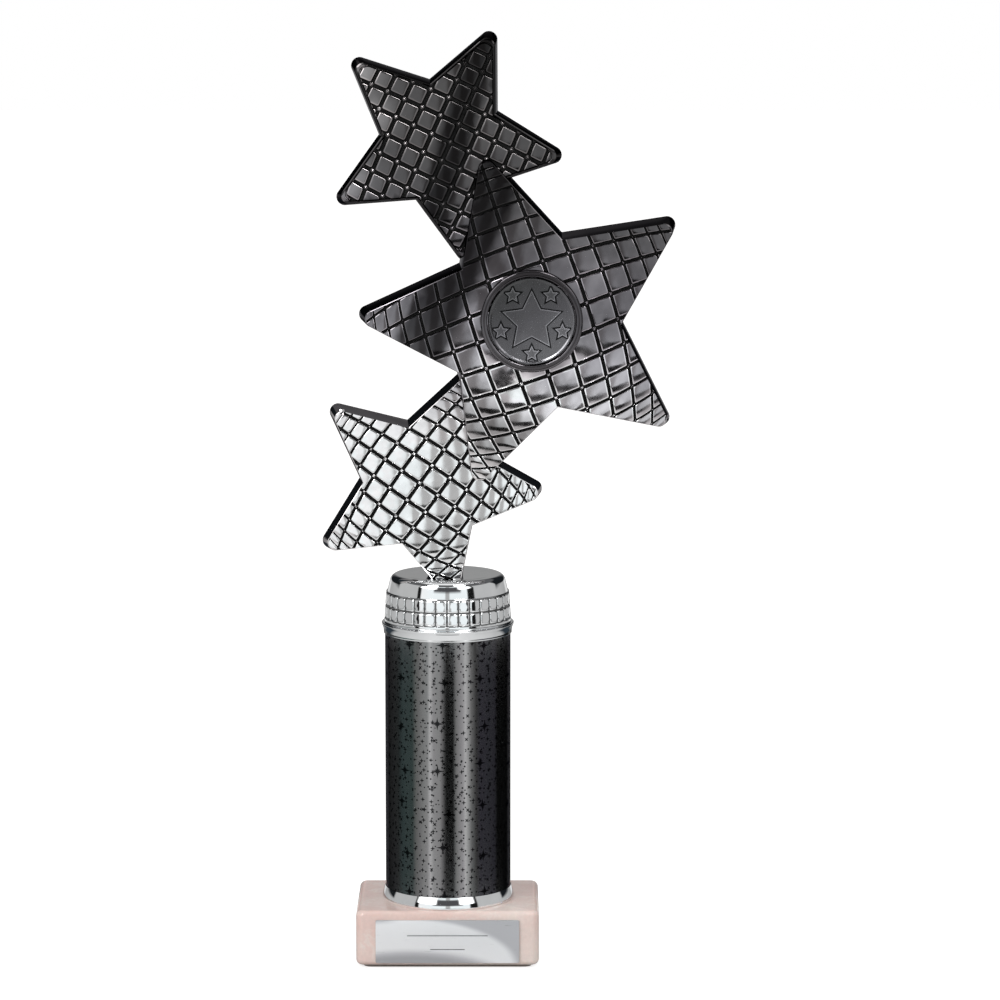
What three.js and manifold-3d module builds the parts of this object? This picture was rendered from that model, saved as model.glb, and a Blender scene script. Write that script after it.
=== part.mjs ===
// Column trophy: a marble base, a foil-wrapped column between two chrome collars, a chrome riser cap
// and a plated figure of three overlapping stars with a round centre disc. One M4 threaded rod runs
// from a nut under the base up into the foot of the figure and clamps the whole stack.
// Millimetres, +Z up. The origin is the centre of the underside; the figure faces -Y.

import * as THREE from "three";
import { mergeVertices } from "three/addons/utils/BufferGeometryUtils.js";
import Module from "manifold-3d";

// ---------------------------------------------------------------- driving dimensions

const ROUND_SIDES = 40; // sides of the column's round pieces
const SMALL_SIDES = 20; // sides of the rod, its washers and its holes
const FIT_GAP = 0.1; // clearance between nested or cut pieces

const BASE = { width: 55, depth: 42, top: 17.5, corner: 2.4, edge: 1.6 };
const FELT = { thickness: 0.8, margin: 2.2 };
const PLATE = { width: 43.2, height: 13.2, thickness: 0.5, corner: 0.5, lowEdge: 1.8 };
const ADHESIVE = { thickness: 0.2, margin: 1 };

const ROD = { radius: 2, holeRadius: 2.6 };
const NUT = { acrossFlats: 7, height: 3.2, boreRadius: 2.1 };
const WASHER = { outerRadius: 7, boreRadius: 2.2, thickness: 0.8 };
const COUNTERBORE = { radius: 8, ceiling: 7.3 };

const COLUMN_RADIUS = 19;
const WRAP_THICKNESS = 0.15;
const CORE_THICKNESS = 1.4;
const COLLAR = { radius: 20, web: 0.8, lowerHeight: 3.7, upperHeight: 4.4, neckRadius: 19.45 };
const COLUMN_TOP = 102.6; // top of the upper collar

const CAP = {
  bandHeight: 8.4,
  bandRadius: 19,
  waistRadius: 18.1,
  shoulderRadius: 17.5,
  lipRadius: 16.2,
  dishRadius: 15.2,
  height: 14.5,
  dishDepth: 0.8,
  roof: 2.3,
  wall: 1.8,
};

// A star lies in the X-Z plane: its centre, the radius to its sharp tips and to its notches, and the
// direction of one arm, in degrees from +X towards +Z. front and back are where its faces lie along Y,
// and frontTaper and backTaper say how much its walls draw in by there.
const STARS = {
  upper: { x: -1.4, z: 247, tips: 39.3, notches: 19, arm: 65.3, front: -8, back: 7, frontTaper: 0.9 },
  middle: {
    x: 25.2, z: 194.5, tips: 54.9, notches: 27.2, arm: 34.6, front: -11, back: 8, frontTaper: 1.3,
  },
  lower: { x: -7.2, z: 145.1, tips: 39, notches: 19.3, arm: 68.5, front: -8, back: 7, frontTaper: 1.7 },
};
const STAR_ARMS = 5;
const BACK_TAPER = 0.8;
const TIP_ROUND = 2.5;
const NOTCH_ROUND = 1;
const FIGURE_WALL = 1.8;

const FOOT = { radius: 4.6, height: 6 };
const NECK_TOP = 133; // the figure is solid below this and hollow above it
const INSERT_NUT_Z = 127;
const ROD_TOP = 131.5;

const DISC = { radius: 12.9, thickness: 1.2 };
const HOLDER = { innerRadius: 13.2, outerRadius: 15.2, front: -12.4, floor: -10.2 };
const DISC_PAD = { radius: 11, thickness: 0.3 };

// ---------------------------------------------------------------- solids

const manifoldLibrary = await Module();
manifoldLibrary.setup();

function toSolid(geometry) {
  const bare = geometry.clone();
  bare.deleteAttribute("normal");
  bare.deleteAttribute("uv");
  const merged = mergeVertices(bare, 1e-4);
  return new manifoldLibrary.Manifold(
    new manifoldLibrary.Mesh({
      numProp: 3,
      vertProperties: merged.attributes.position.array,
      triVerts: new Uint32Array(merged.index.array),
    }),
  );
}

function toGeometry(solid) {
  const { vertProperties, triVerts } = solid.getMesh();
  const indexed = new THREE.BufferGeometry();
  indexed.setAttribute("position", new THREE.BufferAttribute(vertProperties, 3));
  indexed.setIndex(new THREE.BufferAttribute(triVerts, 1));
  const flat = indexed.toNonIndexed();
  flat.computeVertexNormals();
  return flat;
}

const joined = (...solids) => solids.reduce((whole, solid) => whole.add(solid));
const cutFrom = (solid, ...tools) => tools.reduce((rest, tool) => rest.subtract(tool), solid);

// A ring or disc turned about +Z. The profile's [radius, z] points run up the outside and down the
// inside; it is closed here unless it starts and ends on the axis.
function turned(profile, sides = ROUND_SIDES) {
  const points = profile.map(([radius, z]) => new THREE.Vector2(radius, z));
  const onAxis = points[0].x === 0 && points.at(-1).x === 0;
  if (!onAxis) points.push(points[0].clone());
  return new THREE.LatheGeometry(points, sides).rotateX(Math.PI / 2);
}

const ring = (inner, outer, low, high, sides = ROUND_SIDES) =>
  turned([[outer, low], [outer, high], [inner, high], [inner, low]], sides);

const rod = (radius, low, high, sides = SMALL_SIDES) =>
  new THREE.CylinderGeometry(radius, radius, high - low, sides)
    .rotateX(Math.PI / 2)
    .translate(0, 0, (low + high) / 2);

function roundedRectangle(width, height, corner) {
  const x = width / 2 - corner;
  const y = height / 2 - corner;
  const shape = new THREE.Shape();
  shape.absarc(x, y, corner, 0, Math.PI / 2);
  shape.absarc(-x, y, corner, Math.PI / 2, Math.PI);
  shape.absarc(-x, -y, corner, Math.PI, 1.5 * Math.PI);
  shape.absarc(x, -y, corner, 1.5 * Math.PI, 2 * Math.PI);
  return shape;
}

// A shape drawn in the X-Z plane and given thickness along Y, from its back face to its front face.
const facingFront = (shape, back, front, options = {}) =>
  new THREE.ExtrudeGeometry(shape, { depth: back - front, bevelEnabled: false, ...options })
    .rotateX(Math.PI / 2)
    .translate(0, back, 0);

function box(lowest, highest) {
  const size = highest.map((value, i) => value - lowest[i]);
  const middle = highest.map((value, i) => (value + lowest[i]) / 2);
  return new THREE.BoxGeometry(...size).translate(...middle);
}

const trophy = new THREE.Group();

function addPiece(name, geometry, colour, roughness, metalness) {
  const material = new THREE.MeshStandardMaterial({ color: colour, roughness, metalness });
  const mesh = new THREE.Mesh(geometry, material);
  mesh.name = name;
  trophy.add(mesh);
}

// ---------------------------------------------------------------- base

function marbleBase() {
  const { width, depth, top, corner, edge } = BASE;
  const block = new THREE.ExtrudeGeometry(roundedRectangle(width, depth, corner), {
    depth: top - FELT.thickness - 2 * edge,
    bevelThickness: edge,
    bevelSize: edge,
    bevelOffset: -edge,
    bevelSegments: 3,
    curveSegments: 4,
  }).translate(0, 0, FELT.thickness + edge);
  return toGeometry(
    cutFrom(
      toSolid(block),
      toSolid(rod(ROD.holeRadius, 0, top + 1)),
      toSolid(rod(COUNTERBORE.radius, 0, COUNTERBORE.ceiling)),
    ),
  );
}

function baseFelt() {
  const { width, depth, corner } = BASE;
  const outline = roundedRectangle(width - 2 * FELT.margin, depth - 2 * FELT.margin, corner);
  return new THREE.ExtrudeGeometry(outline, {
    depth: FELT.thickness,
    bevelEnabled: false,
    curveSegments: 4,
  });
}

const plateMiddle = PLATE.lowEdge + PLATE.height / 2;
const baseFront = -BASE.depth / 2;

function plateAdhesive() {
  const width = PLATE.width - 2 * ADHESIVE.margin;
  const height = PLATE.height - 2 * ADHESIVE.margin;
  const low = [-width / 2, baseFront - ADHESIVE.thickness, plateMiddle - height / 2];
  return box(low, [width / 2, baseFront, plateMiddle + height / 2]);
}

function engravingPlate() {
  const back = baseFront - ADHESIVE.thickness;
  const outline = roundedRectangle(PLATE.width, PLATE.height, PLATE.corner);
  return facingFront(outline, back, back - PLATE.thickness, { curveSegments: 3 })
    .translate(0, 0, plateMiddle);
}

// ---------------------------------------------------------------- column

const collarBore = COLUMN_RADIUS + FIT_GAP;
const lowerWebTop = BASE.top + COLLAR.web;
const upperWebLow = COLUMN_TOP - COLLAR.web;
const columnFoot = lowerWebTop + FIT_GAP;
const columnHead = upperWebLow - FIT_GAP;

function lowerCollar() {
  const { radius, lowerHeight } = COLLAR;
  const top = BASE.top + lowerHeight;
  return turned([
    [radius - 0.5, BASE.top],
    [radius, BASE.top + 0.6],
    [radius, top - 1.5],
    [radius - 0.45, top],
    [collarBore, top],
    [collarBore, lowerWebTop],
    [ROD.holeRadius, lowerWebTop],
    [ROD.holeRadius, BASE.top],
  ]);
}

function upperCollar() {
  const { radius, upperHeight, neckRadius } = COLLAR;
  const low = COLUMN_TOP - upperHeight;
  return turned([
    [neckRadius, low],
    [neckRadius, low + 1.4],
    [radius - 0.3, low + 2.6],
    [radius, low + 3.2],
    [radius, COLUMN_TOP - 0.4],
    [radius - 0.4, COLUMN_TOP],
    [ROD.holeRadius, COLUMN_TOP],
    [ROD.holeRadius, upperWebLow],
    [collarBore, upperWebLow],
    [collarBore, low],
  ]);
}

function riserCap() {
  const foot = COLUMN_TOP;
  const step = foot + CAP.bandHeight;
  const top = foot + CAP.height;
  const dish = top - CAP.dishDepth;
  const bore = CAP.waistRadius - CAP.wall;
  return turned([
    [CAP.bandRadius - 0.3, foot],
    [CAP.bandRadius, foot + 0.3],
    [CAP.bandRadius, step - 0.3],
    [CAP.bandRadius - 0.3, step],
    [CAP.waistRadius, step],
    [CAP.shoulderRadius, top - 1.4],
    [CAP.shoulderRadius - 0.4, top - 0.5],
    [CAP.lipRadius, top],
    [CAP.lipRadius - 0.4, top],
    [CAP.dishRadius, dish],
    [ROD.holeRadius, dish],
    [ROD.holeRadius, dish - CAP.roof],
    [bore, dish - CAP.roof],
    [bore, foot],
  ]);
}

// ---------------------------------------------------------------- rod, nuts and washers

function nut(low) {
  const cornerRadius = NUT.acrossFlats / 2 / Math.cos(Math.PI / 6);
  return toGeometry(
    cutFrom(
      toSolid(rod(cornerRadius, low, low + NUT.height, 6)),
      toSolid(rod(NUT.boreRadius, low - 1, low + NUT.height + 1)),
    ),
  );
}

const washer = (low, outerRadius = WASHER.outerRadius) =>
  ring(WASHER.boreRadius, outerRadius, low, low + WASHER.thickness, SMALL_SIDES);

const baseWasherLow = COUNTERBORE.ceiling - WASHER.thickness;
const baseNutLow = baseWasherLow - NUT.height;
const rodLow = baseNutLow - 1;

// ---------------------------------------------------------------- star figure

// The outline of a star drawn in by inset: every edge of a star is equally far from its centre, so
// drawing them all in is the same as scaling the star. Tips and notches are arcs tangent to the edges.
function starOutline(star, inset = 0) {
  const halfTurn = Math.PI / STAR_ARMS;
  const reach = star.tips - star.notches * Math.cos(halfTurn);
  const tipHalfAngle = Math.atan2(star.notches * Math.sin(halfTurn), reach);
  const notchHalfAngle = halfTurn + tipHalfAngle;
  const edgeDistance = star.tips * Math.sin(tipHalfAngle);
  const scale = (edgeDistance - inset) / edgeDistance;
  const tipRound = Math.max(TIP_ROUND - inset, 0.4);
  const tipCentre = star.tips * scale - tipRound / Math.sin(tipHalfAngle);
  const notchCentre = star.notches * scale + NOTCH_ROUND / Math.sin(notchHalfAngle);
  const shape = new THREE.Shape();
  for (let i = 0; i < STAR_ARMS; i++) {
    const arm = THREE.MathUtils.degToRad(star.arm) + 2 * halfTurn * i;
    const notch = arm + halfTurn;
    const tipSweep = Math.PI / 2 - tipHalfAngle;
    const notchSweep = Math.PI / 2 - notchHalfAngle;
    shape.absarc(
      star.x + tipCentre * Math.cos(arm),
      star.z + tipCentre * Math.sin(arm),
      tipRound,
      arm - tipSweep,
      arm + tipSweep,
    );
    shape.absarc(
      star.x + notchCentre * Math.cos(notch),
      star.z + notchCentre * Math.sin(notch),
      NOTCH_ROUND,
      notch + Math.PI + notchSweep,
      notch + Math.PI - notchSweep,
      true,
    );
  }
  return shape;
}

// One star with walls that taper towards its front and its back alike; halfFigure keeps one side.
function taperedStar(star, depth, taper) {
  return toSolid(
    facingFront(starOutline(star), 0, 0, {
      depth: FIT_GAP,
      bevelEnabled: true,
      bevelThickness: depth - FIT_GAP,
      bevelSize: taper,
      bevelOffset: -taper,
      bevelSegments: 1,
      curveSegments: 3,
    }),
  );
}

const allStars = Object.values(STARS);
const FAR = 200;

// side is -1 for the front half and +1 for the back half.
function halfFigure(side) {
  const seam = FIT_GAP / 2;
  const depthOf = (star) => (side < 0 ? -star.front : star.back);
  const taperOf = (star) => (side < 0 ? star.frontTaper : BACK_TAPER);
  const stars = allStars.map((star) => taperedStar(star, depthOf(star), taperOf(star)));
  const capTop = COLUMN_TOP + CAP.height - CAP.dishDepth;
  const foot = toSolid(rod(FOOT.radius, capTop, capTop + FOOT.height));
  const halfSpace = side < 0
    ? box([-FAR, -FAR, capTop], [FAR, -seam, 2 * FAR])
    : box([-FAR, seam, capTop], [FAR, FAR, 2 * FAR]);
  const outside = joined(...stars, foot).intersect(toSolid(halfSpace));

  const hollows = allStars.map((star) => {
    const depth = depthOf(star) - FIGURE_WALL;
    const outline = starOutline(star, taperOf(star) + FIGURE_WALL);
    return toSolid(side < 0
      ? facingFront(outline, 1, -depth, { curveSegments: 2 })
      : facingFront(outline, depth, -1, { curveSegments: 2 }));
  });
  const aboveNeck = toSolid(box([-FAR, -FAR, NECK_TOP], [FAR, FAR, 2 * FAR]));
  const hollow = joined(...hollows).intersect(aboveNeck);

  const rodHole = toSolid(rod(ROD.radius + FIT_GAP, capTop - 1, ROD_TOP + FIT_GAP));
  const pocketRadius = (NUT.acrossFlats / 2 + FIT_GAP) / Math.cos(Math.PI / 6);
  const nutPocket = toSolid(
    rod(pocketRadius, INSERT_NUT_Z - FIT_GAP, INSERT_NUT_Z + NUT.height + FIT_GAP, 6),
  );
  return cutFrom(outside, hollow, rodHole, nutPocket);
}

// A round piece on the middle star's axis, from its back face to its front face.
const onMiddleStar = (radius, back, front, sides = ROUND_SIDES) =>
  new THREE.CylinderGeometry(radius, radius, back - front, sides)
    .translate(STARS.middle.x, (back + front) / 2, STARS.middle.z);

function frontShell() {
  const { front } = STARS.middle;
  const boss = toSolid(onMiddleStar(HOLDER.outerRadius, front + 0.5, HOLDER.front));
  const pocket = toSolid(onMiddleStar(HOLDER.innerRadius, HOLDER.floor, HOLDER.front - 1));
  return toGeometry(cutFrom(joined(halfFigure(-1), boss), pocket));
}

const discBack = HOLDER.floor - DISC_PAD.thickness;

// ---------------------------------------------------------------- assembly

const STEEL = 0xb9bcc0;
const CHROME = 0xd8dadd;

addPiece("base_felt", baseFelt(), 0x2b2b2e, 0.95, 0);
addPiece("marble_base", marbleBase(), 0xe4cdc6, 0.25, 0);
addPiece("plate_adhesive", plateAdhesive(), 0xe8e4d8, 0.6, 0);
addPiece("engraving_plate", engravingPlate(), 0xc4c6c8, 0.3, 1);
addPiece("lower_collar", lowerCollar(), CHROME, 0.08, 1);
addPiece("tube_core", ring(
  COLUMN_RADIUS - WRAP_THICKNESS - CORE_THICKNESS,
  COLUMN_RADIUS - WRAP_THICKNESS - FIT_GAP / 2,
  columnFoot,
  columnHead,
), 0xb9a283, 0.9, 0);
addPiece("tube_wrap", ring(
  COLUMN_RADIUS - WRAP_THICKNESS,
  COLUMN_RADIUS,
  columnFoot,
  columnHead,
), 0x1c2022, 0.3, 0.6);
addPiece("upper_collar", upperCollar(), CHROME, 0.08, 1);
addPiece("riser_cap", riserCap(), CHROME, 0.08, 1);
addPiece("threaded_rod", rod(ROD.radius, rodLow, ROD_TOP), STEEL, 0.35, 1);
addPiece("base_washer", washer(baseWasherLow), STEEL, 0.35, 1);
addPiece("base_nut", nut(baseNutLow), STEEL, 0.35, 1);
addPiece("clamp_washer", washer(COLUMN_TOP), STEEL, 0.35, 1);
addPiece("clamp_nut", nut(COLUMN_TOP + WASHER.thickness), STEEL, 0.35, 1);
addPiece("figure_insert_nut", nut(INSERT_NUT_Z), STEEL, 0.35, 1);
addPiece("figure_front_shell", frontShell(), 0x5a585c, 0.2, 0.9);
addPiece("figure_back_shell", toGeometry(halfFigure(1)), 0x5a585c, 0.2, 0.9);
addPiece("disc_pad", onMiddleStar(DISC_PAD.radius, HOLDER.floor, discBack), 0xe8e4d8, 0.6, 0);
addPiece("centre_disc", onMiddleStar(DISC.radius, discBack, discBack - DISC.thickness),
  0x4c4c4f, 0.4, 0.9);

export default trophy;
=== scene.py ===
"""The looks of the column trophy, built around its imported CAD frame. Lengths are metres, and a name
ending in _mm is in millimetres. The trophy faces -Y and stands on Z = 0."""

import math

import bmesh
import bpy
import numpy as np
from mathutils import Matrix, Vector


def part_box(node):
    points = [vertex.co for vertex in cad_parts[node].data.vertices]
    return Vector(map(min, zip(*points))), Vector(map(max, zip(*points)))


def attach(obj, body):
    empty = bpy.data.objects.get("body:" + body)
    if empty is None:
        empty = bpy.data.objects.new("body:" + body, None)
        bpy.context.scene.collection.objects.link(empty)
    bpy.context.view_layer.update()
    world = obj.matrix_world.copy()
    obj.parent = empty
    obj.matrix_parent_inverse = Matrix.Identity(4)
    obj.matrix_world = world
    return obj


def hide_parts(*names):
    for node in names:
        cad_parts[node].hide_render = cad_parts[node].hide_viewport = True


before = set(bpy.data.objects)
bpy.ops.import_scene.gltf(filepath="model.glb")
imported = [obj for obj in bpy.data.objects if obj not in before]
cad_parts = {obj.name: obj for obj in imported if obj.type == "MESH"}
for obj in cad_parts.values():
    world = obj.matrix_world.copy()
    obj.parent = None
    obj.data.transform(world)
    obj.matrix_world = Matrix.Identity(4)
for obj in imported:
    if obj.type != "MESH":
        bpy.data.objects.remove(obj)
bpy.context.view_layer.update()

MM = 0.001
SEED = 7

# ---- places taken from the frame

cap_low, cap_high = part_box("riser_cap")
wrap_low, wrap_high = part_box("tube_wrap")
upper_low, upper_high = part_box("upper_collar")
lower_low, lower_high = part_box("lower_collar")
base_low, base_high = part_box("marble_base")
plate_low, plate_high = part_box("engraving_plate")
disc_low, disc_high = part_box("centre_disc")
figure_low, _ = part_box("figure_front_shell")

disc_centre = (disc_low + disc_high) / 2

# The three stars in the X-Z plane, in millimetres from the centre disc, with angles in degrees.
#   tips, notches     radii of the sharp tips and of the notches
#   arm               one arm's direction, from +X towards +Z
#   front, back       how far the faces stand out from the seam between the two halves
#   taper, slant      how much the front walls draw in, and how far the front face is moved over
#   pitch             the tile grid's spacing along its rows and along its columns
#   rows, columns     the directions of the rows and of the columns
#   knot, squeeze     one crossing of two grooves, and how much the tiles crowd towards the tips
#   rim, edge_gain     the width of the plain border round the tiles, which is painted darker as
#                      painted shade, and the strength of the painted highlight on the tiles' edges
#   left_tilt, right_tilt, ridge, ridge_way, blend
#                     the face is two tilted planes that meet in a soft ridge: its distance from
#                     the star's centre, its direction and its softness
#   dusk, lean        the half width of the dark band of painted reflection along the ridge, and
#                      how the face tips up
#   glints            soft spots of painted highlight, and of painted shade where the gain is
#                      negative (x, z, radius, gain)
#   groove, bevel     half a groove's width, and the width of the tiles' rounded edges
#   hole              the radius left open for the disc holder in front
STARS = {
    "upper": dict(
        x=-26.6, z=52.5, tips=39.3, notches=19.0, arm=65.3, front=8.0, back=7.0,
        taper=0.8, slant=(0.1, -0.2),
        pitch=(6.0, 6.0), rows=-25.0, columns=65.0, knot=(-0.05, -5.2), squeeze=8e-5,
        rim=0.6, edge_gain=1.3,
        left_tilt=-3.2, right_tilt=3.2, ridge=3.4, ridge_way=74.0, blend=6.0, dusk=4.6, lean=0.0,
        glints=((-24, 22, 6, 2.6), (-20, 8, 5, 2.2), (-27, -10, 6, 1.8), (-30, -16, 4, 1.4)),
        groove=0.36, bevel=0.5, hole=0.0,
    ),
    "middle": dict(
        x=0.0, z=0.0, tips=54.9, notches=27.2, arm=34.6, front=11.0, back=8.0,
        taper=0.75, slant=(0.3, -0.75),
        pitch=(8.94, 8.45), rows=20.1, columns=107.8, knot=(0.77, 26.4), squeeze=11.4e-5,
        rim=0.0, edge_gain=1.7,
        left_tilt=-2.8, right_tilt=2.8, ridge=-27.0, ridge_way=65.0, blend=9.0, dusk=7.6, lean=0.8,
        glints=((-4, -20, 6, 1.6), (6, -26, 5, 0.8), (24, -16, 9, 0.8), (17, -30, 8, 0.6),
                (19, 13, 5, 0.9), (10, 24, 6, 0.5), (-13, -12, 3.5, 1.2), (13, -13, 3.5, 1.2),
                (-17, 2, 3, 0.8), (-11, -33, 12, -0.62), (-3, -46, 9, -0.3)),
        groove=0.34, bevel=0.34, hole=14.4,
    ),
    "lower": dict(
        x=-32.4, z=-49.4, tips=39.0, notches=19.3, arm=68.5, front=8.0, back=7.0,
        taper=0.75, slant=(0.35, -0.75),
        pitch=(6.62, 6.48), rows=-34.2, columns=54.3, knot=(-2.74, 9.35), squeeze=27.3e-5,
        rim=0.0, edge_gain=0.6,
        left_tilt=-3.4, right_tilt=-0.3, ridge=-1.0, ridge_way=70.0, blend=2.4, dusk=0.0, lean=1.3,
        glints=((2, -22, 8, 0.7), (24, -2, 7, 0.6), (8, -2, 11, 0.25)),
        groove=0.32, bevel=0.30, hole=0.0,
    ),
}
ARMS = 5
HALF_ARM = math.pi / ARMS
TIP_ROUND_MM = 2.56
SEAM_MM = 0.05
BACK_TAPER_MM = 0.8
TILE_HEIGHT_MM = 0.75
TILE_CORNER_MM = 0.9
TILE_CROWN_MM = 0.035
TILE_TILT = 0.004
CHAMFER_MM = 0.42
CHAMFER_DROP_MM = 0.04
TIP_DROOP_MM = 0.9
FILLET_MM = 0.45
EDGE_BEVEL_MM = 0.22
BEAD_HEIGHT_MM = 0.42
CAP_DISH_MM = 0.3
SHEET_MARGIN_MM = 1.5
WALL_PAINTED_SHADE = 0.8
HOLDER_PAINTED_SHADE = 0.55
RIM_PAINTED_SHADE = 0.4
DUSK_PAINTED_REFLECTION = 0.22

# ---- camera

CAMERA_PITCH = math.radians(8)
CAMERA_DISTANCE = 1.205
CAMERA_AIM = Vector((0.0158, 0, 0.1394))
back_ray = Vector((0, -math.cos(CAMERA_PITCH), math.sin(CAMERA_PITCH)))

camera = bpy.data.objects.new("camera", bpy.data.cameras.new("camera"))
camera.data.lens = 144
camera.data.sensor_width = 36
camera.location = CAMERA_AIM + back_ray * CAMERA_DISTANCE
camera.rotation_mode = "QUATERNION"
camera.rotation_quaternion = (-back_ray).to_track_quat("-Z", "Y")
bpy.context.scene.collection.objects.link(camera)
bpy.context.scene.camera = camera
bpy.context.scene.view_settings.view_transform = "Standard"


# ---- node trees


class Tree:
    """A node tree that starts empty, with short calls to add and join its nodes."""

    def __init__(self, owner):
        owner.use_nodes = True
        self.tree = owner.node_tree
        self.tree.nodes.clear()

    def add(self, kind, inputs=None, **settings):
        node = self.tree.nodes.new("ShaderNode" + kind)
        for key, value in settings.items():
            setattr(node, key, value)
        for key, value in (inputs or {}).items():
            if isinstance(value, bpy.types.NodeSocket):
                self.tree.links.new(value, node.inputs[key])
            else:
                node.inputs[key].default_value = value
        return node

    def math(self, operation, *values):
        return self.add("Math", dict(enumerate(values)), operation=operation).outputs[0]

    def mix(self, factor, a, b, blend="MIX"):
        node = self.add("Mix", {0: factor, 6: a, 7: b}, data_type="RGBA", blend_type=blend)
        return node.outputs[2]

    def plus(self, a, b):
        return self.math("ADD", a, b)

    def minus(self, a, b):
        return self.math("SUBTRACT", a, b)

    def times(self, a, b):
        return self.math("MULTIPLY", a, b)

    def length(self, a, b):
        return self.math("SQRT", self.plus(self.math("POWER", a, 2.0), self.math("POWER", b, 2.0)))

    def vector(self, operation, a, b):
        return self.add("VectorMath", {0: a, 1: b}, operation=operation).outputs[0]

    def scaled(self, vector, factor):
        return self.add("VectorMath", {0: vector, 3: factor}, operation="SCALE").outputs[0]

    def ramp(self, factor, stops):
        """stops are (position, (red, green, blue)) in rising order."""
        node = self.add("ValToRGB", {0: factor})
        elements = node.color_ramp.elements
        while len(elements) < len(stops):
            elements.new(1.0)
        for element, (position, colour) in zip(elements, stops):
            element.position = position
            element.color = (*colour, 1)
        return node.outputs[0]

    def range(self, value, low, high, to_low=0.0, to_high=1.0, smooth=False):
        kind = "SMOOTHSTEP" if smooth else "LINEAR"
        ends = {0: value, 1: low, 2: high, 3: to_low, 4: to_high}
        return self.add("MapRange", ends, interpolation_type=kind).outputs[0]

    def noise(self, vector, scale, detail=2.0, roughness=0.5, distortion=0.0):
        settings = {
            "Vector": vector, "Scale": scale, "Detail": detail,
            "Roughness": roughness, "Distortion": distortion,
        }
        return self.add("TexNoise", settings).outputs[0]

    def own(self):
        """The piece's own coordinates, which are the trophy's, in metres."""
        return self.add("TexCoord").outputs["Object"]

    def split(self, vector):
        return self.add("SeparateXYZ", {0: vector}).outputs

    def stretch(self, vector, scale):
        return self.add("Mapping", {"Vector": vector, "Scale": scale}).outputs[0]

    def bump(self, height, distance):
        return self.add("Bump", {"Height": height, "Distance": distance}).outputs[0]


def grey(value):
    return (value, value, value)


def material(name, finish):
    """A material whose Principled inputs come from finish(tree), as a dict."""
    made = bpy.data.materials.new(name)
    tree = Tree(made)
    shader = tree.add("BsdfPrincipled", finish(tree))
    tree.add("OutputMaterial", {"Surface": shader.outputs[0]})
    return made


# ---- materials


def plated_figure(tree):
    """Plating that fades from bright silver at the foot to near black at the top."""
    own = tree.own()
    x, _, z = tree.split(own)
    height = tree.plus(tree.times(x, 0.15), z)
    drift = tree.times(tree.minus(tree.noise(own, 60), 0.5), 0.016)
    fade = tree.range(tree.plus(height, drift), 0.156, 0.250)
    colour = tree.ramp(fade, [
        (0.00, (0.97, 0.93, 0.93)),
        (0.10, (0.77, 0.735, 0.745)),
        (0.20, (0.485, 0.460, 0.475)),
        (0.32, (0.270, 0.255, 0.270)),
        (0.46, (0.162, 0.151, 0.162)),
        (0.62, (0.124, 0.114, 0.122)),
        (0.80, (0.097, 0.091, 0.093)),
        (1.00, (0.092, 0.086, 0.086)),
    ])
    smears = tree.range(tree.noise(own, 170, 3, 0.6, 0.6), 0.35, 0.75)
    ripple = tree.noise(own, 420, 2, 0.45)
    shade = tree.add("Attribute", attribute_name="shade").outputs["Fac"]
    toned = tree.vector("MINIMUM", tree.scaled(colour, shade), grey(0.98))
    return {
        "Base Color": tree.mix(tree.times(smears, 0.2), toned, (0.03, 0.03, 0.035, 1)),
        "Metallic": 1.0,
        "Specular Tint": (0.45, 0.45, 0.46, 1),
        "Roughness": tree.range(smears, 0, 1, 0.05, 0.13),
        "Normal": tree.bump(ripple, 0.9e-5),
    }


def groove_painted_shade(tree):
    """Near-black on the groove floors between the tiles: painted shade for the grooves."""
    own = tree.own()
    return {
        "Base Color": tree.ramp(tree.noise(own, 300), [(0.3, grey(0.004)), (0.8, grey(0.014))]),
        "Specular IOR Level": 0.08,
        "Roughness": tree.range(tree.noise(own, 500), 0.3, 0.7, 0.5, 0.7),
    }


def chrome(tree):
    own = tree.own()
    haze = tree.noise(own, 260, 3, 0.6)
    return {
        "Base Color": tree.ramp(haze, [(0.3, (0.86, 0.875, 0.88)), (0.8, (0.94, 0.95, 0.96))]),
        "Metallic": 1.0,
        "Roughness": tree.range(haze, 0.3, 0.8, 0.025, 0.07),
        "Normal": tree.bump(tree.noise(own, 220, 1), 0.6e-5),
    }


def cap_groove_painted_shade(tree):
    """A dark grey in the narrow grooves between the cap's tiles: painted shade for the grooves."""
    own = tree.own()
    return {
        "Base Color": tree.ramp(tree.noise(own, 400), [(0.3, grey(0.10)), (0.8, grey(0.22))]),
        "Metallic": 0.8,
        "Roughness": tree.range(tree.noise(own, 700), 0.3, 0.7, 0.3, 0.45),
    }


def disc_metal(tree):
    """Satin gunmetal with a fine upright grain, with painted light: darker towards the upper left and
    lighter towards the lower right, and the shade attribute's painted shade and highlights.
    """
    own = tree.own()
    grain = tree.noise(tree.stretch(own, (1, 1, 0.06)), 5200, 2, 0.6)
    x, _, z = tree.split(own)
    # Painted light: the colour fades from darker at the upper left to lighter at the lower right.
    slant = tree.minus(z, tree.times(x, 0.5))
    middle = disc_centre.z - 0.5 * disc_centre.x
    fade = tree.range(slant, middle + 0.013, middle - 0.013)
    fade = tree.plus(fade, tree.range(tree.noise(own, 140, 2), 0.2, 0.8, -0.15, 0.15))
    tone = tree.ramp(fade, [
        (0.0, (0.092, 0.092, 0.094)), (0.5, (0.140, 0.136, 0.146)), (1.0, (0.24, 0.237, 0.25))])
    shade = tree.add("Attribute", attribute_name="shade").outputs["Fac"]
    return {
        "Base Color": tree.scaled(tone, shade),
        "Metallic": 1.0,
        "Roughness": tree.range(grain, 0.25, 0.75, 0.15, 0.24),
        "Normal": tree.bump(grain, 0.4e-5),
    }


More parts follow.
